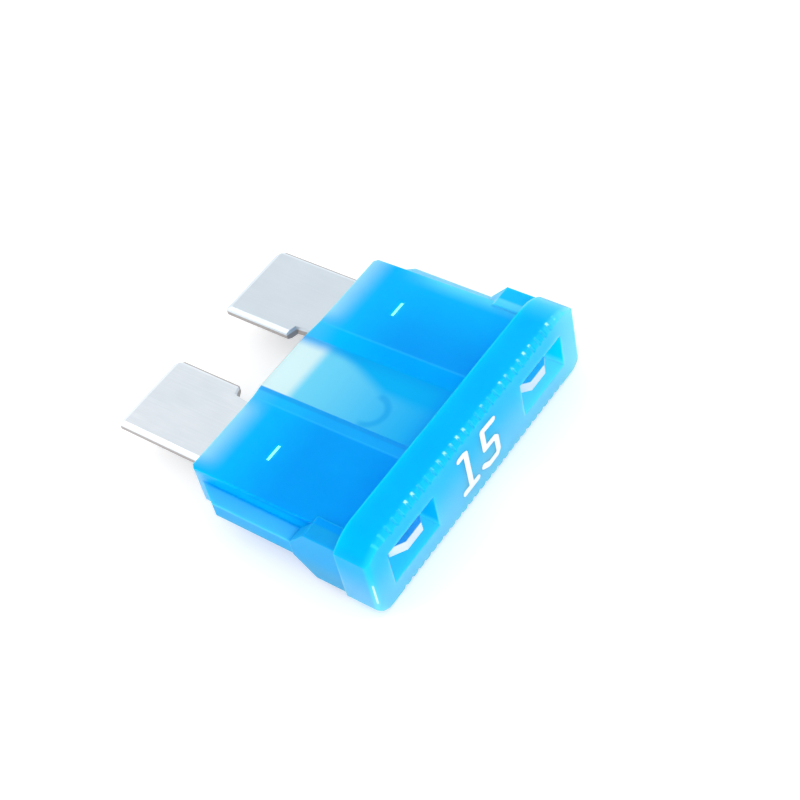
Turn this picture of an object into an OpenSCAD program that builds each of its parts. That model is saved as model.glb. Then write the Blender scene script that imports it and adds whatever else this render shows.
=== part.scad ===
// Blade-type fuse: a hollow moulded housing around one stamped metal strip.
// The fuse lies on its broad side. X runs along the head, +Y points to the blade tips and +Z is up.
// Each sub-part is drawn about the middle plane of the strip, with y = 0 on the head's front face.

/* [Overall] */
// Thickness of the head bar
head_thick = 5.1; // [4.6:0.1:6]
// Distance from the head's front face to the blade tips
overall_len = 18.8; // [17.5:0.1:24]
// Distance from the head's front face to the open end of the towers
housing_len = 12.4; // [11.5:0.1:13.5]

/* [Head bar] */
// Depth of the head bar behind its front face
head_depth = 2.1; // [1.7:0.1:3]
// How far the bar reaches past the towers at each end
head_overhang = 1.15; // [1:0.05:1.6]
// Width of the bevel along the two front edges
edge_bevel = 0.25; // [0.15:0.05:0.4]
// Radius of the upright corners at the ends of the front face
corner_r = 0.3; // [0.1:0.05:0.5]

/* [Grip teeth] */
// Distance from one tooth to the next
tooth_pitch = 0.57; // [0.5:0.01:0.9]
// Width of the groove between two teeth
groove_w = 0.3; // [0.2:0.02:0.4]
// Depth of the groove below the bevel
groove_depth = 0.12; // [0.06:0.02:0.2]

/* [Shoulders] */
// How far each shoulder stands out from the tower's side
shoulder_out = 1; // [0.7:0.05:1.1]
// Thickness of the shoulders and of the flat ends of the head bar
shoulder_thick = 3.55; // [3.3:0.05:4]
// Distance from the front face to the back of the shoulders
shoulder_reach = 4.1; // [3.6:0.1:4.6]
// Length of the slope from the shoulder down to the rib
shoulder_slope = 1.2; // [0.8:0.1:1.8]

/* [Side ribs] */
// How far each rib stands out from the tower's side
rib_out = 0.95; // [0.6:0.05:1.1]
// Thickness of each rib
rib_thick = 1.05; // [0.8:0.05:1.4]
// Distance from the open end to where the rib has its full width
rib_setback = 1.95; // [1.6:0.05:2.6]
// Length of the slanted start of the rib
rib_lead = 1.4; // [0.8:0.1:1.6]

/* [Body] */
// How much each broad face of the towers rises from the open end to the head
body_rise = 0.27; // [0.2:0.01:0.5]
// Thickness of the broad walls
wall = 0.5; // [0.35:0.05:0.6]
// Thickness of the narrow side walls
side_wall = 0.7; // [0.5:0.05:0.9]
// Plastic between the front face and the pockets of the towers
front_wall = 1.2; // [0.9:0.1:1.5]
// Cut on the upright corners at the open end
body_corner = 0.2; // [0.1:0.05:0.4]

/* [Window] */
// Width of the flat window floor between the towers
window_w = 4; // [3.6:0.1:4.4]
// Width of the slope from the window up to each tower
window_slope = 1.05; // [0.7:0.05:1.3]
// Depth of the window below the towers
window_recess = 0.25; // [0.15:0.05:0.3]
// How far the window wall reaches past the towers
window_lip = 0.3; // [0.1:0.05:0.6]
// Distance from the front face to the end of the hollow behind the window
window_end = 3.6; // [3:0.1:4]

/* [Probe slots] */
// Width of each slot in the front face
slot_w = 4; // [3.6:0.1:4.4]
// Height of each slot
slot_h = 2.4; // [2:0.1:2.6]
// How far the slot reaches past the pocket behind it
slot_step = 0.35; // [0.1:0.05:0.6]

/* [Stakes] */
// Length of each stake mark, along the head
stake_len = 1.1; // [0.8:0.1:1.5]
// Width of each stake mark
stake_w = 0.24; // [0.15:0.01:0.35]
// Depth of each stake mark
stake_depth = 0.25; // [0.15:0.05:0.3]
// Distance from the pocket's side wall to the middle of the stake
stake_inset = 2.05; // [1.6:0.05:2.6]
// Distance from the open end to the stakes
stake_setback = 3.45; // [3:0.05:4.5]
// Width of the stake peg in the strip's hole
peg_w = 0.5; // [0.3:0.05:0.7]
// Plastic around the peg that bears on the strip
pad_rim = 0.35; // [0.2:0.05:0.5]
// Free space between a stake peg and its hole in the strip
peg_clear = 0.05; // [0.03:0.01:0.1]
// Free space between the two pegs that meet in one hole
peg_gap = 0.1; // [0.06:0.02:0.2]

/* [Blades] */
// Thickness of the strip
strip_thick = 0.65; // [0.5:0.05:0.75]
// Width of each blade
blade_w = 5.2; // [5:0.05:5.4]
// Gap between the two blades
blade_gap = 4.3; // [4.1:0.05:4.5]
// Width of the bevel on the blade edges
blade_bevel = 0.24; // [0.1:0.02:0.4]
// Depth of that bevel
bevel_depth = 0.11; // [0.05:0.01:0.16]
// Cut on one corner of each tip
tip_cut = 0.45; // [0.2:0.05:0.8]
// How much narrower the neck is than the blade, on the inner edge
neck_relief = 0.65; // [0.4:0.05:0.9]
// Length of the neck outside the towers
neck_len = 2; // [1.4:0.05:2.4]
// How far the step from the blade to the neck leans towards the towers
neck_lean = 0.2; // [0:0.05:0.4]
// How much the neck narrows further, down to its plate
neck_taper = 0.25; // [0:0.05:0.4]
// How deep the neck meets its plate inside the towers
neck_seat = 0.5; // [0.3:0.1:1]
// Free space between the strip's edge and the side wall
side_clear = 0.35; // [0.2:0.05:0.5]
// Free space over the strip where the window wall ends
strip_clear = 0.25; // [0.1:0.01:0.35]

/* [Link] */
// Radius of the middle line of the bowed link
link_r = 1.05; // [0.9:0.05:1.3]
// Width of the link
link_w = 0.4; // [0.25:0.05:0.5]
// Thickness of the link
link_thick = 0.35; // [0.2:0.05:0.5]
// Length of the straight legs that run into the plates
link_leg = 0.8; // [0.5:0.1:1.2]
// Distance from the front face to the middle of the bow
link_y = 6.9; // [6.5:0.1:7.5]
// Gap between the plates on the head side of the link
plate_gap = 2.8; // [2.6:0.1:3.2]
// Free space between the plates and the walls in front of them
plate_clear = 0.4; // [0.2:0.05:0.6]

/* [Test tabs] */
// Distance from the front face back to the tab's edge
tab_setback = 0.15; // [0.05:0.05:0.4]
// Width of the tab's front edge
tab_front_w = 1.35; // [1:0.05:1.8]
// Free space between the tab and the inner end of its slot
tab_clear = 0.55; // [0.3:0.05:0.8]
// Depth of the cut corners of the tab
tab_cut = 0.55; // [0.3:0.05:0.8]

/* [Hidden] */
$fn = 64;
overrun = 0.5;
blade_in = blade_gap / 2;
blade_out = blade_in + blade_w;
neck_in = blade_in + neck_relief;
neck_y = housing_len + neck_len;
neck_root_in = neck_in + neck_taper;
plate_end = housing_len - neck_seat;
pocket_out = blade_out + side_clear;
body_out = pocket_out + side_wall;
wall_mid = pocket_out + side_wall / 2;
head_out = body_out + head_overhang;
round_x = head_out - sqrt(pow(head_thick / 2, 2) - pow(shoulder_thick / 2, 2));
window_out = window_w / 2 + window_slope;
slot_out = pocket_out + slot_step;
slot_in = slot_out - slot_w;
stake_x = pocket_out - stake_inset;
stake_y = housing_len - stake_setback;
plate_front = front_wall + plate_clear;
plate_in = window_out + plate_clear;
plate_head_y = window_end + plate_clear;
end_half = strip_thick / 2 + strip_clear + wall + window_recess;
taper = body_rise / (housing_len - head_depth);
tooth_count = floor(2 * round_x / tooth_pitch);
housing_blue = [0.05, 0.66, 0.98, 0.75];
plated_metal = [0.85, 0.87, 0.9];

// Half of the towers' thickness at a distance y from the front face
function half_body(y) = end_half + (housing_len - y) * taper;

// Moves a sub-part from its own middle plane to the part's frame
module placed() {
    translate([0, -overall_len / 2, head_thick / 2]) children();
}

// A child and its copy on the other end of the head
module both_ends() {
    children();
    mirror([1, 0, 0]) children();
}

// A child and its copy on the other broad face
module both_faces() {
    children();
    mirror([0, 0, 1]) children();
}

// Extrudes an outline of (y, z) points along +X, from x1 to x2
module along_x(x1, x2) {
    translate([x1, 0, 0]) rotate([90, 0, 90]) linear_extrude(x2 - x1) children();
}

// Extrudes an outline of (x, z) points along +Y, from y1 to y2
module along_y(y1, y2) {
    translate([0, y2, 0]) rotate([90, 0, 0]) linear_extrude(y2 - y1) children();
}

// Extrudes an outline of (x, y) points to equal heights above and below the middle plane
module flat(thick) {
    linear_extrude(thick, center = true) children();
}

// Outline in (y, z) of a slab that is symmetric about the middle plane
module slab(y1, half1, y2, half2) {
    polygon([[y1, -half1], [y2, -half2], [y2, half2], [y1, half1]]);
}

// Bar with round ends, cut square at both ends
module head_bar() {
    intersection() {
        union() {
            along_y(0, head_depth) square([2 * round_x, head_thick], center = true);
            both_ends() along_y(0, head_depth) translate([round_x, 0]) circle(head_thick / 2);
        }
        along_y(-overrun, head_depth + overrun) square([2 * head_out, head_thick], center = true);
    }
}

// One groove across the upper front edge, its outline in the plane across the bevel
module groove(x) {
    spread = groove_w / 2 * (1 + overrun / groove_depth);
    reach = edge_bevel + groove_depth + overrun;
    translate([x, edge_bevel / 2, (head_thick - edge_bevel) / 2])
        rotate([45, 0, 0])
            along_y(-reach, reach)
                polygon([[-spread, overrun], [spread, overrun], [0, -groove_depth]]);
}

// What is cut off the head bar's front: bevels, grooves and upright corners
module head_trim() {
    top = head_thick / 2;
    both_faces() {
        along_x(-head_out - overrun, head_out + overrun)
            polygon([
                [-overrun, top + overrun],
                [edge_bevel + overrun, top + overrun],
                [-overrun, top - edge_bevel - overrun]
            ]);
        for (i = [0 : tooth_count - 1])
            groove((i - (tooth_count - 1) / 2) * tooth_pitch);
    }
    both_ends() translate([head_out - corner_r, corner_r, 0]) difference() {
        translate([0, -corner_r - overrun, -top])
            cube([corner_r + overrun, corner_r + overrun, head_thick]);
        cylinder(h = head_thick + overrun, r = corner_r, center = true);
    }
}

// Shoulder at one end, full height behind the head bar and sloping down to the rib
module shoulder() {
    tall = shoulder_thick / 2;
    low = rib_thick / 2;
    foot = shoulder_reach + shoulder_slope;
    along_x(wall_mid, body_out + shoulder_out)
        polygon([
            [head_depth / 2, -tall], [shoulder_reach, -tall], [foot, -low],
            [foot, low], [shoulder_reach, tall], [head_depth / 2, tall]
        ]);
}

// Rib along one narrow side, with a slanted start near the open end
module rib() {
    edge = body_out + rib_out;
    full_y = housing_len - rib_setback;
    lead_y = full_y + rib_lead;
    flat(rib_thick)
        polygon([
            [wall_mid, shoulder_reach], [edge, shoulder_reach], [edge, full_y],
            [body_out, lead_y], [wall_mid, lead_y]
        ]);
}

// Solid of both towers and the window wall, thinner towards the open end
module body_block() {
    root = head_depth / 2;
    tip = housing_len + window_lip;
    intersection() {
        along_x(-body_out, body_out) slab(root, half_body(root), tip, half_body(tip));
        both_ends() flat(head_thick)
            polygon([
                [0, root], [body_out, root], [body_out, housing_len - body_corner],
                [body_out - body_corner, housing_len], [window_out, housing_len],
                [window_w / 2, tip], [0, tip]
            ]);
    }
}

// Channel that sinks the window into one broad face, parallel to that face
module window_cut() {
    floor_half = window_w / 2;
    over_half = window_out + window_slope * overrun / window_recess;
    translate([0, head_depth, half_body(head_depth) - window_recess])
        rotate([-atan(taper), 0, 0])
            along_y(0, housing_len + window_lip - head_depth + overrun)
                polygon([
                    [-floor_half, 0], [floor_half, 0],
                    [over_half, window_recess + overrun], [-over_half, window_recess + overrun]
                ]);
}

// Hollow for the strip: one pocket in each tower and the shallower space behind the window
module hollow() {
    open_y = housing_len + window_lip + overrun;
    thin = wall + window_recess;
    both_ends() along_x(window_out, pocket_out)
        slab(front_wall, half_body(front_wall) - wall, open_y, half_body(open_y) - wall);
    along_x(-window_out - wall, window_out + wall)
        slab(window_end, half_body(window_end) - thin, open_y, half_body(open_y) - thin);
}

// Slot in the front face that shows one test tab
module probe_slot() {
    translate([slot_in, -overrun, -slot_h / 2])
        cube([slot_w, front_wall + 2 * overrun, slot_h]);
}

// Plastic pressed in from one broad face: a pad on the strip and a peg in its hole
module stake() {
    bear = strip_thick / 2;
    roof = half_body(stake_y) - wall / 2;
    pad = [stake_len + 2 * pad_rim, peg_w + 2 * pad_rim];
    translate([stake_x, stake_y, 0]) {
        translate([0, 0, bear]) linear_extrude(roof - bear) square(pad, center = true);
        translate([0, 0, peg_gap / 2])
            linear_extrude(roof - peg_gap / 2) square([stake_len, peg_w], center = true);
    }
}

// Mark that the staking tool leaves on the outside
module stake_mark() {
    translate([stake_x, stake_y, half_body(stake_y) - stake_depth])
        linear_extrude(stake_depth + overrun) square([stake_len, stake_w], center = true);
}

module housing() {
    color(housing_blue) placed() difference() {
        union() {
            difference() {
                union() {
                    head_bar();
                    body_block();
                    both_ends() {
                        shoulder();
                        rib();
                    }
                }
                hollow();
                both_ends() probe_slot();
                both_faces() window_cut();
                head_trim();
            }
            both_ends() both_faces() stake();
        }
        both_ends() both_faces() stake_mark();
    }
}

// One blade and its neck, with bevelled long edges, a bevelled tip and a notch on the inner edge
module blade() {
    full = strip_thick / 2;
    edge = full - bevel_depth;
    in = blade_in + blade_bevel;
    out = blade_out - blade_bevel;
    bevel_y = overall_len - blade_bevel;
    difference() {
        intersection() {
            along_y(plate_end, overall_len)
                polygon([
                    [blade_in, -edge], [in, -full], [out, -full], [blade_out, -edge],
                    [blade_out, edge], [out, full], [in, full], [blade_in, edge]
                ]);
            along_x(blade_in, blade_out) {
                slab(plate_end, full, bevel_y, full);
                slab(bevel_y, full, overall_len, edge);
            }
        }
        flat(strip_thick + 2 * overrun)
            polygon([
                [blade_in - overrun, neck_y], [blade_in, neck_y], [neck_in, neck_y - neck_lean],
                [neck_root_in, plate_end], [neck_root_in, plate_end - overrun],
                [blade_in - overrun, plate_end - overrun]
            ]);
    }
}

// Plate and test tab of one half of the strip, drawn from the neck round to the link
module plate() {
    tab_in = slot_in + tab_clear;
    front_in = tab_in + tab_cut;
    front_out = front_in + tab_front_w;
    cut_y = tab_setback + tab_cut;
    head_gap = plate_gap / 2;
    flat(strip_thick)
        polygon([
            [neck_root_in, plate_end], [blade_out, plate_end], [blade_out, cut_y],
            [front_out, tab_setback], [front_in, tab_setback], [tab_in, cut_y],
            [tab_in, plate_front], [plate_in, plate_front], [plate_in, plate_head_y],
            [head_gap, plate_head_y], [head_gap, link_y - link_r], [link_r, link_y]
        ]);
}

// Bowed link between the two plates, with straight legs that run into them
module link() {
    outer = link_r + link_w / 2;
    inner = link_r - link_w / 2;
    flat(link_thick) {
        difference() {
            circle(outer);
            circle(inner);
            translate([-outer, 0]) square([2 * outer, outer]);
        }
        both_ends() translate([inner, 0]) square([link_w, link_leg]);
    }
}

// Cut on the tip corner at x, at an eighth of a turn to the blade's edge
module corner_cut(x) {
    translate([x, overall_len, 0]) rotate([0, 0, 45])
        cube([tip_cut * sqrt(2), 2 * tip_cut, strip_thick + 2 * overrun], center = true);
}

// Hole that takes the two pegs of one stake
module stake_hole() {
    translate([stake_x, stake_y, 0])
        flat(strip_thick + 2 * overrun)
            square([stake_len + 2 * peg_clear, peg_w + 2 * peg_clear], center = true);
}

module fuse_element() {
    color(plated_metal) placed() {
        difference() {
            both_ends() {
                blade();
                plate();
            }
            both_ends() stake_hole();
            corner_cut(blade_out);
            corner_cut(-blade_in);
        }
        translate([0, link_y, 0]) link();
    }
}

housing();
fuse_element();
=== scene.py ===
import math

import bmesh
import bpy
from mathutils import Matrix, Vector


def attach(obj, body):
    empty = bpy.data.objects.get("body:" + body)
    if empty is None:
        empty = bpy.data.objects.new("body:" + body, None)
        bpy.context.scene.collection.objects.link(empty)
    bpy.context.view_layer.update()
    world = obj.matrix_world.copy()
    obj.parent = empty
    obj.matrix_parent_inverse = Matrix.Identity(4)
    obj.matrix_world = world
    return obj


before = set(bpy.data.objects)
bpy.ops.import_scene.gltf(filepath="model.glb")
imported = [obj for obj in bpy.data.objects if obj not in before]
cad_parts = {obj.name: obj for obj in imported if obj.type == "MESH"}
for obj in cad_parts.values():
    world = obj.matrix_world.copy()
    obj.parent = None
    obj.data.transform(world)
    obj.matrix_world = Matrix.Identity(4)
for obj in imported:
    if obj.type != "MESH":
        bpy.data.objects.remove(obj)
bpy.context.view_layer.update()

MM = 0.001
scene = bpy.context.scene
scene.view_settings.view_transform = "Standard"
scene.cycles.use_denoising = True

# Sizes of the part, in millimetres
HALF_LENGTH = 9.4        # the part's frame has its origin in the middle of this length
MID_HEIGHT = 2.55        # middle plane of the strip
HEAD_DEPTH = 2.1
HEAD_HALF_WIDTH = 9.55
BODY_HALF_WIDTH = 8.4
WINDOW_HALF_WIDTH = 2.0
WINDOW_SLOPE = 1.05
STAKE_X, STAKE_Y = 5.65, 8.95
STAKE_LENGTH, STAKE_WIDTH = 1.1, 0.24
TOOTH_PITCH = 0.57
SLOT_OUT = 8.05
SLOT_HALF_HEIGHT = 1.2
BLADE_X, BLADE_HALF_WIDTH = 4.75, 2.6


# Small helpers for node trees
class Tree:
    """Adds nodes to one material or world, and links what is passed to their inputs."""

    def __init__(self, owner):
        owner.use_nodes = True
        self.tree = owner.node_tree
        self.tree.nodes.clear()

    def node(self, kind, inputs=(), **settings):
        n = self.tree.nodes.new(kind)
        for key, value in settings.items():
            setattr(n, key, value)
        for key, value in dict(inputs).items():
            self.feed(n.inputs[key], value)
        return n

    def feed(self, socket, value):
        if isinstance(value, bpy.types.NodeSocket):
            self.tree.links.new(value, socket)
        else:
            socket.default_value = value

    def math(self, operation, a, b=0.0):
        n = self.tree.nodes.new("ShaderNodeMath")
        n.operation = operation
        self.feed(n.inputs[0], a)
        self.feed(n.inputs[1], b)
        return n.outputs[0]

    def times(self, *factors):
        product = factors[0]
        for factor in factors[1:]:
            product = self.math("MULTIPLY", product, factor)
        return product

    def away(self, value, middle):
        """Distance of value from middle."""
        return self.math("ABSOLUTE", self.math("SUBTRACT", value, middle))

    def ramp(self, value, low, high, to_low=0.0, to_high=1.0):
        """Smooth step from to_low at low to to_high at high."""
        n = self.tree.nodes.new("ShaderNodeMapRange")
        n.interpolation_type = "SMOOTHSTEP"
        for i, v in enumerate((value, low, high, to_low, to_high)):
            self.feed(n.inputs[i], v)
        return n.outputs[0]

    def fall(self, value, low, high, top=1.0):
        """Smooth step from top at low to nothing at high."""
        return self.ramp(value, low, high, top, 0.0)

    def mix(self, share, a, b):
        n = self.tree.nodes.new("ShaderNodeMix")
        n.data_type = "RGBA"
        self.feed(n.inputs[0], share)
        self.feed(n.inputs[6], a)
        self.feed(n.inputs[7], b)
        return n.outputs[2]

    def noise(self, at, scale, detail):
        return self.node("ShaderNodeTexNoise", {"Vector": at, "Scale": scale, "Detail": detail}).outputs[0]

    def object_place(self):
        return self.node("ShaderNodeTexCoord").outputs["Object"]

    def part_place(self):
        """Keeps x, y from the head's front face and z from the middle plane, in millimetres."""
        self.at = self.object_place()
        sep = self.node("ShaderNodeSeparateXYZ", {0: self.at})
        self.x = self.math("MULTIPLY", sep.outputs[0], 1 / MM)
        self.y = self.math("ADD", self.math("MULTIPLY", sep.outputs[1], 1 / MM), HALF_LENGTH)
        self.z = self.math("SUBTRACT", self.math("MULTIPLY", sep.outputs[2], 1 / MM), MID_HEIGHT)
        self.across = self.math("ABSOLUTE", self.x)
        self.up = self.math("ABSOLUTE", self.z)

    def surface(self, kind, inputs):
        """Ends a material with one shader."""
        shader = self.node(kind, inputs)
        self.node("ShaderNodeOutputMaterial", {"Surface": shader.outputs[0]})


def rgb(r, g, b):
    """Linear colour from sRGB values of 0 to 255."""
    def lin(v):
        v /= 255
        return v / 12.92 if v <= 0.04045 else ((v + 0.055) / 1.055) ** 2.4
    return (lin(r), lin(g), lin(b), 1.0)


# The housing's colours, each with the two places, in millimetres, between which it comes in or goes out
# Most of these are painted light and shade over the plastic's one blue
NEAR_TO_FAR = -1.0, 1.0          # along x, from the side near the camera to the far one

HEAD_BLUES = rgb(0, 178, 246), rgb(0, 186, 250)
# Painted light: paler far end, and paler towards the foot of the end faces and of the front face
HEAD_FAR_PAINTED_LIGHT, HEAD_FAR_X = rgb(70, 208, 250), (7.2, 9.4)
END_PAINTED_LIGHT_BLUES, END_Z = (rgb(100, 182, 228), rgb(12, 172, 236)), (-1.4, 1.4)
END_REACH = 0.5
FRONT_PAINTED_LIGHT_BLUES, FRONT_Z = (rgb(108, 202, 250), rgb(26, 190, 251)), (-2.0, 1.6)
FRONT_FAR_PAINTED_LIGHT, FRONT_FAR_X, FRONT_FAR_SHARE = rgb(128, 226, 252), (6.5, 9.2), 0.6
FRONT_DEPTH = 0.1, 0.5


def head_colour(t, cloud):
    """Even on top. The paler ends, far end and foot of the front face are painted light."""
    head = t.mix(cloud, *HEAD_BLUES)
    head = t.mix(t.ramp(t.x, *HEAD_FAR_X), head, HEAD_FAR_PAINTED_LIGHT)
    end = t.mix(t.ramp(t.z, *END_Z), *END_PAINTED_LIGHT_BLUES)
    head = t.mix(t.ramp(t.across, HEAD_HALF_WIDTH - END_REACH, HEAD_HALF_WIDTH), head, end)
    front = t.mix(t.ramp(t.z, *FRONT_Z), *FRONT_PAINTED_LIGHT_BLUES)
    front = t.mix(t.ramp(t.x, *FRONT_FAR_X, 0.0, FRONT_FAR_SHARE), front, FRONT_FAR_PAINTED_LIGHT)
    return t.mix(t.ramp(t.y, *FRONT_DEPTH), front, head)


# Painted shade and light on the towers: the deep blue stands in for the strip's shade under the plastic;
# the paler far side, far rim, open end and thin near corner stand in for light coming through it
TOWER_BLUES = rgb(0, 152, 234), rgb(0, 161, 241)
TOWER_FAR_PAINTED_LIGHT, TOWER_FAR_X = rgb(0, 180, 248), (3.5, 8.0)
TOWER_RIM_PAINTED_LIGHT, TOWER_RIM_X = rgb(90, 212, 252), (7.4, 8.4)
TOWER_OPEN_PAINTED_LIGHT, TOWER_OPEN_Y = rgb(0, 180, 246), (7.0, 11.0)
THIN_END_PAINTED_LIGHT, THIN_END_Y = rgb(150, 214, 250), (10.7, 12.7)
THIN_END_X = -8.4, -7.2
THIN_END_ACROSS, THIN_END_SHARE = (3.0, 4.2), 0.25
# Painted light: the side walls are paler than the tops, and paler again at their open ends
WALL_PAINTED_LIGHT_BLUE, WALL_FALL_Z = rgb(0, 174, 244), (1.0, 1.3)
WALL_END_PAINTED_LIGHT, WALL_END_Y, WALL_END_SHARE = rgb(140, 196, 240), (11.3, 12.3), 0.8
WALL_REACH = BODY_HALF_WIDTH - 0.03, BODY_HALF_WIDTH - 0.01
RIB_REACH = BODY_HALF_WIDTH + 0.02, BODY_HALF_WIDTH + 0.2
# Painted light and shade on the ribs: the near rib greyer towards the bottom and lit on its top face, the
# far rib paler
NEAR_RIB_LIT_AND_SHADED_BLUES, NEAR_RIB_Z = (rgb(62, 162, 212), rgb(22, 164, 228)), (-1.4, 0.2)
NEAR_RIB_LIT_TOP, NEAR_RIB_TOP_Y, NEAR_RIB_TOP_Z = rgb(70, 192, 246), (5.2, 5.6), (0.3, 0.5)
NEAR_RIB_END_Y = 11.2, 12.4
FAR_RIB_LIT_BLUES, FAR_RIB_UP = (rgb(150, 216, 248), rgb(20, 192, 250)), (0.5, 0.9)


def tower_colour(t, cloud):
    """Deep over the strip, paler at the open end, on the side walls and on the ribs and shoulders: painted
    light and shade over the plastic's blue.
    """
    tower = t.mix(cloud, *TOWER_BLUES)
    # Painted light: paler far side, far rim and open end
    tower = t.mix(t.ramp(t.x, *TOWER_FAR_X), tower, TOWER_FAR_PAINTED_LIGHT)
    tower = t.mix(t.ramp(t.x, *TOWER_RIM_X), tower, TOWER_RIM_PAINTED_LIGHT)
    tower = t.mix(t.ramp(t.y, *TOWER_OPEN_Y), tower, TOWER_OPEN_PAINTED_LIGHT)
    # Painted light at the thin near corner of the open end
    thin = t.times(t.ramp(t.y, *THIN_END_Y), t.ramp(t.x, *THIN_END_X),
                   t.ramp(t.across, *THIN_END_ACROSS, THIN_END_SHARE, 1.0))
    tower = t.mix(thin, tower, THIN_END_PAINTED_LIGHT)

    # Painted light on the side walls, and painted light and shade on the ribs
    wall = t.mix(t.ramp(t.y, *WALL_END_Y, 0.0, WALL_END_SHARE), WALL_PAINTED_LIGHT_BLUE, WALL_END_PAINTED_LIGHT)
    tower = t.mix(t.times(t.ramp(t.across, *WALL_REACH), t.fall(t.z, *WALL_FALL_Z)), tower, wall)

    near = t.mix(t.ramp(t.z, *NEAR_RIB_Z), *NEAR_RIB_LIT_AND_SHADED_BLUES)
    near = t.mix(t.times(t.ramp(t.y, *NEAR_RIB_TOP_Y), t.ramp(t.z, *NEAR_RIB_TOP_Z)), near, NEAR_RIB_LIT_TOP)
    near = t.mix(t.ramp(t.y, *NEAR_RIB_END_Y, 0.0, WALL_END_SHARE), near, WALL_END_PAINTED_LIGHT)
    far = t.mix(t.ramp(t.up, *FAR_RIB_UP), *FAR_RIB_LIT_BLUES)
    rib = t.mix(t.ramp(t.x, *NEAR_TO_FAR), near, far)
    return t.mix(t.ramp(t.across, *RIB_REACH), tower, rib)


SLOPE_IN = WINDOW_HALF_WIDTH - 0.1, WINDOW_HALF_WIDTH
# Painted light and shade on the slopes: a lighter blue, painted shade at the near foot and a painted
# highlight along the crest
SLOPE_PAINTED_LIGHT, SLOPE_SHARE, SLOPE_OUT = rgb(0, 192, 255), 0.3, (3.0, 3.1)
SLOPE_FOOT_SHADE, SLOPE_FOOT_SHARE, SLOPE_FOOT_OUT = rgb(0, 142, 228), 0.5, (2.3, 2.45)
SLOPE_CREST_HIGHLIGHT, SLOPE_CREST_REACH, SLOPE_CREST_SHARE = rgb(60, 205, 255), (0.03, 0.1), 0.25


def paint_slopes(t, tower):
    """Slopes beside the window, clearer than the towers, with a painted highlight at the crest and painted
    shade at the near foot.
    """
    inner = t.ramp(t.across, *SLOPE_IN)
    tower = t.mix(t.times(inner, t.fall(t.across, *SLOPE_OUT, SLOPE_SHARE)), tower, SLOPE_PAINTED_LIGHT)
    foot = t.times(inner, t.fall(t.across, *SLOPE_FOOT_OUT), t.fall(t.x, *NEAR_TO_FAR, SLOPE_FOOT_SHARE))
    tower = t.mix(foot, tower, SLOPE_FOOT_SHADE)
    crest = t.away(t.across, WINDOW_HALF_WIDTH + WINDOW_SLOPE)
    return t.mix(t.fall(crest, *SLOPE_CREST_REACH, SLOPE_CREST_SHARE), tower, SLOPE_CREST_HIGHLIGHT)


# Painted light and shade on the window: palest at the open end and lip, with painted shade of the strip,
# its link, the head's foot and the far edge
PANE_LIT_BLUES, PANE_Y = (rgb(34, 192, 255), rgb(116, 222, 255)), (3.0, 10.8)
SHADE_X, SHADE_Y = -0.9, 6.2     # middle of the link's bow, as it shows through the window
PLATE_SHADE, PLATE_EDGE = rgb(0, 187, 255), (-0.1, 0.8)
PLATE_LEAN = 0.39                # of the plate's inner edge, towards the blades
LINK_SHADE, LINK_SHARE = rgb(10, 170, 244), 0.6
LINK_RADIUS, LINK_REACH, LINK_Y = 1.0, (0.05, 0.32), (-0.2, 0.3)
PANE_FOOT_SHADE, PANE_FOOT_Y, PANE_FOOT_SHARE = rgb(0, 166, 252), (2.2, 3.8), 0.75
PANE_LIP_LIGHT, PANE_LIP_Y = rgb(222, 252, 255), (10.4, 11.2)
PANE_FAR_SHADE, PANE_FAR_X, PANE_FAR_SHARE = rgb(0, 177, 254), (1.2, 2.0), 0.9


def window_colour(t):
    """Painted light and shade: clearest at the open end, shaded where the strip and its link lie under the
    milky plastic.
    """
    pane = t.mix(t.ramp(t.y, *PANE_Y), *PANE_LIT_BLUES)
    past_link = t.math("MAXIMUM", t.math("SUBTRACT", t.y, SHADE_Y), 0.0)
    plate_edge = t.math("SUBTRACT", t.x, t.math("MULTIPLY", past_link, PLATE_LEAN))
    pane = t.mix(t.ramp(plate_edge, *PLATE_EDGE), pane, PLATE_SHADE)
    bow_x = t.math("SUBTRACT", t.x, SHADE_X)
    bow_y = t.math("SUBTRACT", t.y, SHADE_Y)
    radius = t.math("SQRT", t.math("ADD", t.times(bow_x, bow_x), t.times(bow_y, bow_y)))
    link = t.times(t.fall(t.away(radius, LINK_RADIUS), *LINK_REACH, LINK_SHARE), t.fall(bow_y, *LINK_Y))
    pane = t.mix(link, pane, LINK_SHADE)
    pane = t.mix(t.fall(t.y, *PANE_FOOT_Y, PANE_FOOT_SHARE), pane, PANE_FOOT_SHADE)
    pane = t.mix(t.ramp(t.y, *PANE_LIP_Y), pane, PANE_LIP_LIGHT)
    return t.mix(t.ramp(t.x, *PANE_FAR_X, 0.0, PANE_FAR_SHARE), pane, PANE_FAR_SHADE)


# Painted light in the tooth grooves against their shade, and painted highlights (glints) on some of them
GROOVE_LIGHT, GROOVE_SHARE = rgb(70, 214, 255), 0.6
GROOVE_REACH = TOOTH_PITCH / 2 - 0.12, TOOTH_PITCH / 2 - 0.03
GRIP_UP, GRIP_Y = (2.2, 2.3), (0.34, 0.42)
GLINT, GLINT_UP = rgb(200, 248, 255), (2.4, 2.46)
GLINT_SPECK = 0.46, 0.58         # levels of the noise that picks the grooves with a painted glint


def paint_grooves(t, colour, speck):
    """Grooves between the teeth painted pale against their shade, and painted highlights on some of them.
    """
    groove = t.math("PINGPONG", t.math("ADD", t.across, TOOTH_PITCH / 2), TOOTH_PITCH / 2)
    groove = t.times(t.ramp(groove, *GROOVE_REACH), t.ramp(t.up, *GRIP_UP), t.fall(t.y, *GRIP_Y))
    colour = t.mix(t.times(groove, GROOVE_SHARE), colour, GROOVE_LIGHT)
    glint = t.times(groove, t.ramp(t.up, *GLINT_UP), t.ramp(speck, *GLINT_SPECK))
    return t.mix(glint, colour, GLINT)


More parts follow.
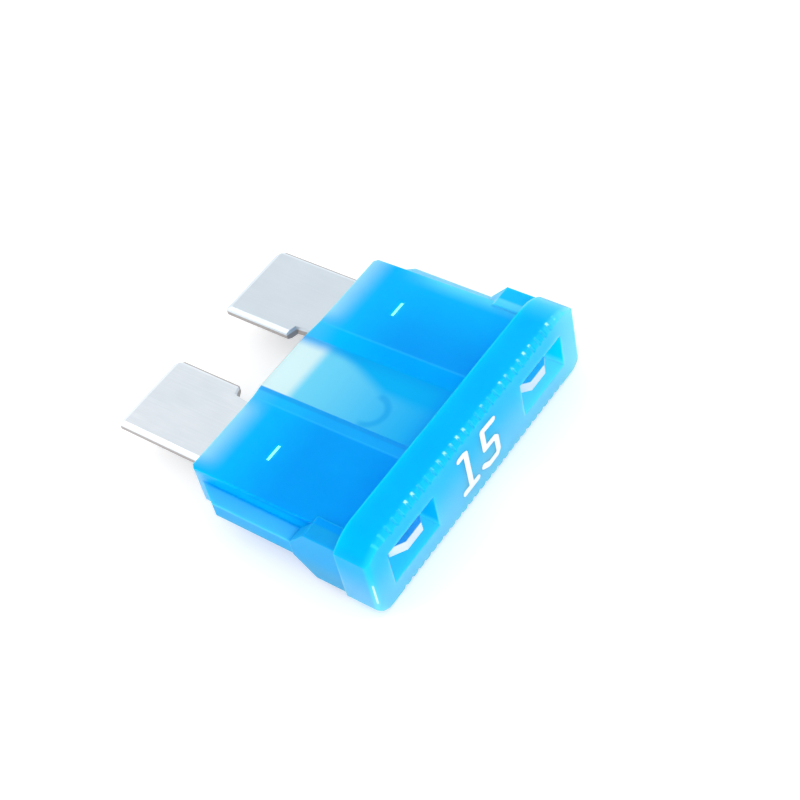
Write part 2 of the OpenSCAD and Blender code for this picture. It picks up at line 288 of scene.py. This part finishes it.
SLOT_MARGIN = 0.02, 0.06
SLOT_DEPTH = 2.4, 3.0
# Painted glow inside the probe slots, given as emission, over a darkened base colour
SLOT_GLOW_BLUES = rgb(0, 166, 246), rgb(0, 196, 255)
SLOT_FOOT_GLOW_BLUES, SLOT_FOOT_Z = (rgb(48, 198, 251), rgb(76, 208, 252)), (-1.25, -0.6)
SLOT_DARK, SLOT_DARK_SHARE = rgb(0, 20, 40), 0.5
SLOT_SHINE = 0.75


def slot_inside(t):
    """One inside the probe slots and nothing elsewhere."""
    reach = t.math("SUBTRACT", t.across, SLOT_OUT)
    rise = t.math("SUBTRACT", t.up, SLOT_HALF_HEIGHT)
    return t.times(t.ramp(t.y, *SLOT_MARGIN), t.fall(reach, *SLOT_MARGIN), t.fall(rise, *SLOT_MARGIN),
                   t.fall(t.y, *SLOT_DEPTH))


def slot_glow_colour(t):
    """Painted glow that stands in for light gathering inside the probe slots, paler at their foot."""
    side = t.ramp(t.x, *NEAR_TO_FAR)
    return t.mix(t.ramp(t.z, *SLOT_FOOT_Z), t.mix(side, *SLOT_FOOT_GLOW_BLUES), t.mix(side, *SLOT_GLOW_BLUES))


# Painted highlight down the front corners
STREAK_HIGHLIGHT = rgb(225, 250, 255)
STREAK_ACROSS = 9.38, 9.42
STREAK_Y_IN, STREAK_Y_OUT, STREAK_SHARE = (0.04, 0.07), (0.1, 0.14), 0.8
STREAK_Z_IN, STREAK_Z_OUT = (-1.3, -1.1), (0.2, 0.4)


def paint_corner_highlight(t, colour):
    """Painted highlight: a pale streak down the front corners."""
    streak = t.times(t.ramp(t.across, *STREAK_ACROSS),
                     t.ramp(t.y, *STREAK_Y_IN), t.fall(t.y, *STREAK_Y_OUT, STREAK_SHARE),
                     t.ramp(t.z, *STREAK_Z_IN), t.fall(t.z, *STREAK_Z_OUT))
    return t.mix(streak, colour, STREAK_HIGHLIGHT)


# Stake marks: white of stress-whitened plastic, plus a painted glow, given as emission, standing in for
# the light the marks reflect
MARK, MARK_LIGHT, MARK_SHINE = rgb(215, 255, 255), rgb(120, 255, 250), 0.45
MARK_LONG = STAKE_LENGTH / 2, STAKE_LENGTH / 2 + 0.04
MARK_WIDE = STAKE_WIDTH / 2 + 0.005, STAKE_WIDTH / 2 + 0.015
MARK_FLOOR, MARK_TOP = (0.8, 0.9), (1.29, 1.31)


def stake_mark(t):
    """One on the floor and the lower walls of the stake marks, and nothing elsewhere."""
    return t.times(t.fall(t.away(t.across, STAKE_X), *MARK_LONG), t.fall(t.away(t.y, STAKE_Y), *MARK_WIDE),
                   t.ramp(t.up, *MARK_FLOOR), t.fall(t.up, *MARK_TOP))


CLOUD_SCALE, CLOUD_DETAIL = 420.0, 3.0
SPECK_SCALE, SPECK_DETAIL = 900.0, 1.0
WINDOW_EDGE = WINDOW_HALF_WIDTH, WINDOW_HALF_WIDTH + 0.1
HEAD_EDGE = HEAD_DEPTH - 0.1, HEAD_DEPTH + 0.1
NOISE_MIDDLE = 0.3, 0.7          # range in which most of a noise lies
PLASTIC_ROUGHNESS = 0.28, 0.36
PLASTIC_BUMP, PLASTIC_BUMP_HEIGHT = 0.04, 0.05
EDGE_ROUNDING, EDGE_SAMPLES = 0.12, 6
PLASTIC_IOR, PLASTIC_SPECULAR, PLASTIC_TINT = 1.3, 0.3, (0.0, 0.6, 1.0, 1.0)
WINDOW_TRANSMISSION = 0.2
SCATTER_RADIUS = 0.6, 0.8, 0.8
SCATTER_SCALE, SCATTER_Y = (1.6 * MM, 0.4 * MM), (1.9, 2.4)


def housing_plastic():
    """Milky blue plastic with painted light and shade: deep over the pockets, paler where it ends thin,
    clearer in the window, and a painted glow in the slots and stake marks.
    """
    mat = bpy.data.materials.new("translucent_blue_plastic")
    t = Tree(mat)
    t.part_place()
    cloud = t.noise(t.at, CLOUD_SCALE, CLOUD_DETAIL)
    speck = t.noise(t.at, SPECK_SCALE, SPECK_DETAIL)

    in_body = t.ramp(t.y, *HEAD_EDGE)
    window = t.times(in_body, t.fall(t.across, *WINDOW_EDGE))
    colour = t.mix(in_body, head_colour(t, cloud), paint_slopes(t, tower_colour(t, cloud)))
    colour = t.mix(window, colour, window_colour(t))
    colour = paint_grooves(t, colour, speck)

    # Painted glow in the slots: darkened base colour plus emission
    slot = slot_inside(t)
    light = slot_glow_colour(t)
    colour = t.mix(slot, colour, t.mix(SLOT_DARK_SHARE, light, SLOT_DARK))
    colour = paint_corner_highlight(t, colour)
    mark = stake_mark(t)
    colour = t.mix(mark, colour, MARK)
    light = t.mix(mark, light, MARK_LIGHT)
    # Emission strength of the painted glow in the slots and stake marks
    shine = t.math("ADD", t.times(slot, SLOT_SHINE), t.times(mark, MARK_SHINE))

    bump = t.node("ShaderNodeBump", {
        "Strength": PLASTIC_BUMP, "Distance": PLASTIC_BUMP_HEIGHT * MM, "Height": cloud,
    })
    rounded = t.node("ShaderNodeBevel", {"Radius": EDGE_ROUNDING * MM, "Normal": bump.outputs[0]},
                     samples=EDGE_SAMPLES)
    t.surface("ShaderNodeBsdfPrincipled", {
        "Base Color": colour,
        "Roughness": t.ramp(cloud, *NOISE_MIDDLE, *PLASTIC_ROUGHNESS),
        "IOR": PLASTIC_IOR,
        "Specular IOR Level": PLASTIC_SPECULAR,
        "Specular Tint": PLASTIC_TINT,
        "Normal": rounded.outputs[0],
        "Transmission Weight": t.times(window, WINDOW_TRANSMISSION),
        "Subsurface Weight": t.math("SUBTRACT", 1.0, t.math("MAXIMUM", window, mark)),
        "Subsurface Radius": SCATTER_RADIUS,
        "Subsurface Scale": t.ramp(t.y, *SCATTER_Y, *SCATTER_SCALE),
        "Emission Color": light,
        "Emission Strength": shine,
    })
    return mat


# The strip's plated metal
METAL_GREYS = rgb(214, 222, 231), rgb(242, 247, 250)
# Painted shade: greyer towards the far blade and along the blades' far and lower edges
METAL_FAR_SHADE, METAL_FAR_SHARE = rgb(192, 210, 222), 0.35
METAL_EDGE_SHADE = rgb(168, 162, 160)
LOWER_EDGE_Z = 0.0, 0.1
FAR_EDGE = BLADE_HALF_WIDTH - 0.12, BLADE_HALF_WIDTH - 0.06
BLADE_Y = 11.0, 12.0             # the edges show on the blades alone
GRAIN_STRETCH, GRAIN_SCALE, GRAIN_DETAIL = (9000.0, 500.0, 9000.0), 1.0, 4.0
BLOTCH_SCALE, BLOTCH_DETAIL = 500.0, 2.0
METAL_ROUGHNESS = 0.3, 0.42
METAL_BUMP, METAL_BUMP_HEIGHT = 0.05, 0.02


def plated_metal():
    """Pale metal with a rolling grain along the blades, and painted shade: greyer towards the far blade
    and at the blades' far and lower edges.
    """
    mat = bpy.data.materials.new("plated_strip_metal")
    t = Tree(mat)
    t.part_place()
    stretch = t.node("ShaderNodeMapping", {"Vector": t.at, "Scale": GRAIN_STRETCH})
    grain = t.noise(stretch.outputs[0], GRAIN_SCALE, GRAIN_DETAIL)
    blotch = t.noise(t.at, BLOTCH_SCALE, BLOTCH_DETAIL)
    tone = t.times(t.math("ADD", grain, blotch), 1 / 2)
    colour = t.mix(tone, *METAL_GREYS)
    colour = t.mix(t.ramp(t.x, *NEAR_TO_FAR, 0.0, METAL_FAR_SHARE), colour, METAL_FAR_SHADE)
    outward = t.math("SUBTRACT", t.x, t.math("MULTIPLY", t.math("SIGN", t.x), BLADE_X))
    edge = t.math("MAXIMUM", t.fall(t.z, *LOWER_EDGE_Z), t.ramp(outward, *FAR_EDGE))
    colour = t.mix(t.times(edge, t.ramp(t.y, *BLADE_Y)), colour, METAL_EDGE_SHADE)
    bump = t.node("ShaderNodeBump", {
        "Strength": METAL_BUMP, "Distance": METAL_BUMP_HEIGHT * MM, "Height": grain,
    })
    t.surface("ShaderNodeBsdfPrincipled", {
        "Base Color": colour,
        "Metallic": 1.0,
        "Roughness": t.ramp(grain, *NOISE_MIDDLE, *METAL_ROUGHNESS),
        "Normal": bump.outputs[0],
    })
    return mat


INK_WHITES = rgb(244, 248, 250), rgb(255, 255, 255)
INK_SCALE, INK_DETAIL, INK_ROUGHNESS = 3000.0, 2.0, 0.45


def white_ink():
    mat = bpy.data.materials.new("white_ink")
    t = Tree(mat)
    colour = t.mix(t.noise(t.object_place(), INK_SCALE, INK_DETAIL), *INK_WHITES)
    t.surface("ShaderNodeBsdfPrincipled", {"Base Color": colour, "Roughness": INK_ROUGHNESS})
    return mat


def assign(obj, mat):
    obj.data.materials.clear()
    obj.data.materials.append(mat)


assign(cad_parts["housing"], housing_plastic())
assign(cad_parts["fuse_element"], plated_metal())

# Printed number on the front face, as x and height of the pen in millimetres
INK_THICKNESS = 0.02
INK_STROKE = 0.38
ARC_STEP = 0.35          # largest turn between two points of a round stroke end, in radians
ONE_STEM = [(-1.70, 3.94), (-1.34, 3.95), (-1.11, 3.86), (-1.11, 1.31)]
ONE_BASE = [(-0.55, 1.31), (-1.71, 1.31)]
FIVE = [(1.45, 3.87), (0.41, 3.93), (0.41, 2.59), (1.28, 2.58), (1.46, 2.40), (1.46, 1.46),
        (1.28, 1.28), (0.55, 1.26), (0.09, 1.53)]
DIGIT_WALKS = {
    "digit_one": ONE_STEM + ONE_BASE + ONE_STEM[:0:-1],
    "digit_five": FIVE + FIVE[-2:0:-1],
}


def pen_outline(walk, half):
    """Outline that a round pen leaves, from a closed walk along the strokes and back."""
    points = [Vector(p) for p in walk]
    outline = []
    for i, corner in enumerate(points):
        into = (corner - points[i - 1]).normalized()
        out = (points[(i + 1) % len(points)] - corner).normalized()
        turn = math.atan2(into.cross(out), into.dot(out))
        left = Vector((-into.y, into.x))
        if 0 < turn < math.pi - ARC_STEP:
            miter = left + Vector((-out.y, out.x))
            outline.append(corner + miter * 2 * half / miter.length_squared)
        else:
            turn = -abs(turn)
            steps = max(1, math.ceil(-turn / ARC_STEP))
            for k in range(steps + 1):
                outline.append(corner + Matrix.Rotation(turn * k / steps, 2) @ left * half)
    return outline


def ink_digit(name, walk, mat):
    """One digit as a thin filled shape, stood upright on the head's front face."""
    curve = bpy.data.curves.new(name, "CURVE")
    curve.dimensions = "2D"
    curve.fill_mode = "BOTH"
    curve.extrude = INK_THICKNESS / 2 * MM
    outline = pen_outline(walk, INK_STROKE / 2)
    spline = curve.splines.new("POLY")
    spline.use_cyclic_u = True
    spline.points.add(len(outline) - 1)
    for p, at in zip(spline.points, outline):
        p.co = (at.x * MM, at.y * MM, 0.0, 1.0)
    drawn = bpy.data.objects.new(name, curve)
    scene.collection.objects.link(drawn)
    bpy.context.view_layer.update()
    mesh = bpy.data.meshes.new_from_object(drawn.evaluated_get(bpy.context.evaluated_depsgraph_get()))
    bpy.data.objects.remove(drawn)
    upright = Matrix.Rotation(math.pi / 2, 4, "X")
    mesh.transform(Matrix.Translation((0, -HALF_LENGTH * MM, 0)) @ upright)
    obj = bpy.data.objects.new(name, mesh)
    scene.collection.objects.link(obj)
    assign(obj, mat)
    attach(obj, "root")


ink = white_ink()
for digit, walk in DIGIT_WALKS.items():
    ink_digit(digit, walk, ink)

# Floor
FLOOR_SIZE = 1.2         # metres
FLOOR_GREYS = (0.86, 0.86, 0.86, 1.0), (0.88, 0.88, 0.88, 1.0)
FLOOR_SCALE, FLOOR_DETAIL = 30.0, 2.0
FLOOR_LIFT = 0.3         # added where the floor is seen, so that it turns white and keeps the shadow


def floor_material():
    mat = bpy.data.materials.new("pale_floor")
    t = Tree(mat)
    colour = t.mix(t.noise(t.object_place(), FLOOR_SCALE, FLOOR_DETAIL), *FLOOR_GREYS)
    diffuse = t.node("ShaderNodeBsdfDiffuse", {"Color": colour})
    path = t.node("ShaderNodeLightPath")
    seen = t.math("MAXIMUM", path.outputs["Is Camera Ray"], path.outputs["Is Glossy Ray"])
    seen = t.math("MAXIMUM", seen, path.outputs["Is Transmission Ray"])
    glow = t.node("ShaderNodeEmission", {"Color": (1, 1, 1, 1), "Strength": t.times(seen, FLOOR_LIFT)})
    t.surface("ShaderNodeAddShader", {0: diffuse.outputs[0], 1: glow.outputs[0]})
    return mat


bm = bmesh.new()
bmesh.ops.create_grid(bm, x_segments=1, y_segments=1, size=FLOOR_SIZE / 2)
floor_mesh = bpy.data.meshes.new("floor")
bm.to_mesh(floor_mesh)
bm.free()
floor = bpy.data.objects.new("floor", floor_mesh)
scene.collection.objects.link(floor)
assign(floor, floor_material())

# World: a pale sky, a little brighter towards the horizon
SKY_COLOUR = (0.98, 0.99, 1.0, 1.0)
SKY_HEIGHTS, SKY_LEVELS = (0.0, 0.6), (1.2, 0.95)

world = bpy.data.worlds.new("studio")
scene.world = world
w = Tree(world)
direction = w.node("ShaderNodeTexCoord").outputs["Generated"]
height = w.node("ShaderNodeSeparateXYZ", {0: direction}).outputs[2]
level = w.ramp(height, *SKY_HEIGHTS, *SKY_LEVELS)
sky = w.node("ShaderNodeBackground", {"Color": SKY_COLOUR, "Strength": level})
w.node("ShaderNodeOutputWorld", {"Surface": sky.outputs[0]})

# Lamps, with places and sizes in millimetres and power in watts
LAMPS = {
    "key": {"place": (-60, 70, 130), "size": 90, "power": 0.03},
    "fill": {"place": (-150, -110, 60), "size": 150, "power": 0.1},
}
LAMP_TARGET = (0, 0, 2)


def area_lamp(name, place, size, power):
    light = bpy.data.lights.new(name, "AREA")
    light.shape = "SQUARE"
    light.size = size * MM
    light.energy = power
    obj = bpy.data.objects.new(name, light)
    scene.collection.objects.link(obj)
    obj.location = Vector(place) * MM
    obj.rotation_euler = (Vector(LAMP_TARGET) - Vector(place)).to_track_quat("-Z", "Y").to_euler()


for lamp, settings in LAMPS.items():
    area_lamp(lamp, **settings)

# The camera was fitted to the photograph: its place in millimetres, and the axes of its picture
CAMERA_PLACE = (-41.07, -46.72, 69.51)
PICTURE_RIGHT = (0.56406, -0.80877, -0.16650)
PICTURE_DOWN = (-0.68009, -0.34068, -0.64916)
VIEW_FORWARD = (0.46830, 0.47940, -0.74220)
FOCAL_LENGTH, PICTURE_WIDTH = 1696.2, 800      # pixels
SENSOR = 36.0
CLIP_NEAR, CLIP_FAR = 0.001, 10                # metres

camera = bpy.data.cameras.new("camera")
camera.sensor_fit = "HORIZONTAL"
camera.sensor_width = SENSOR
camera.lens = FOCAL_LENGTH / PICTURE_WIDTH * SENSOR
camera.clip_start = CLIP_NEAR
camera.clip_end = CLIP_FAR
cam = bpy.data.objects.new("camera", camera)
scene.collection.objects.link(cam)
right, down, forward = Vector(PICTURE_RIGHT), Vector(PICTURE_DOWN), Vector(VIEW_FORWARD)
turn = Matrix((right, -down, -forward)).transposed()
cam.matrix_world = Matrix.Translation(Vector(CAMERA_PLACE) * MM) @ turn.to_4x4()
scene.camera = cam
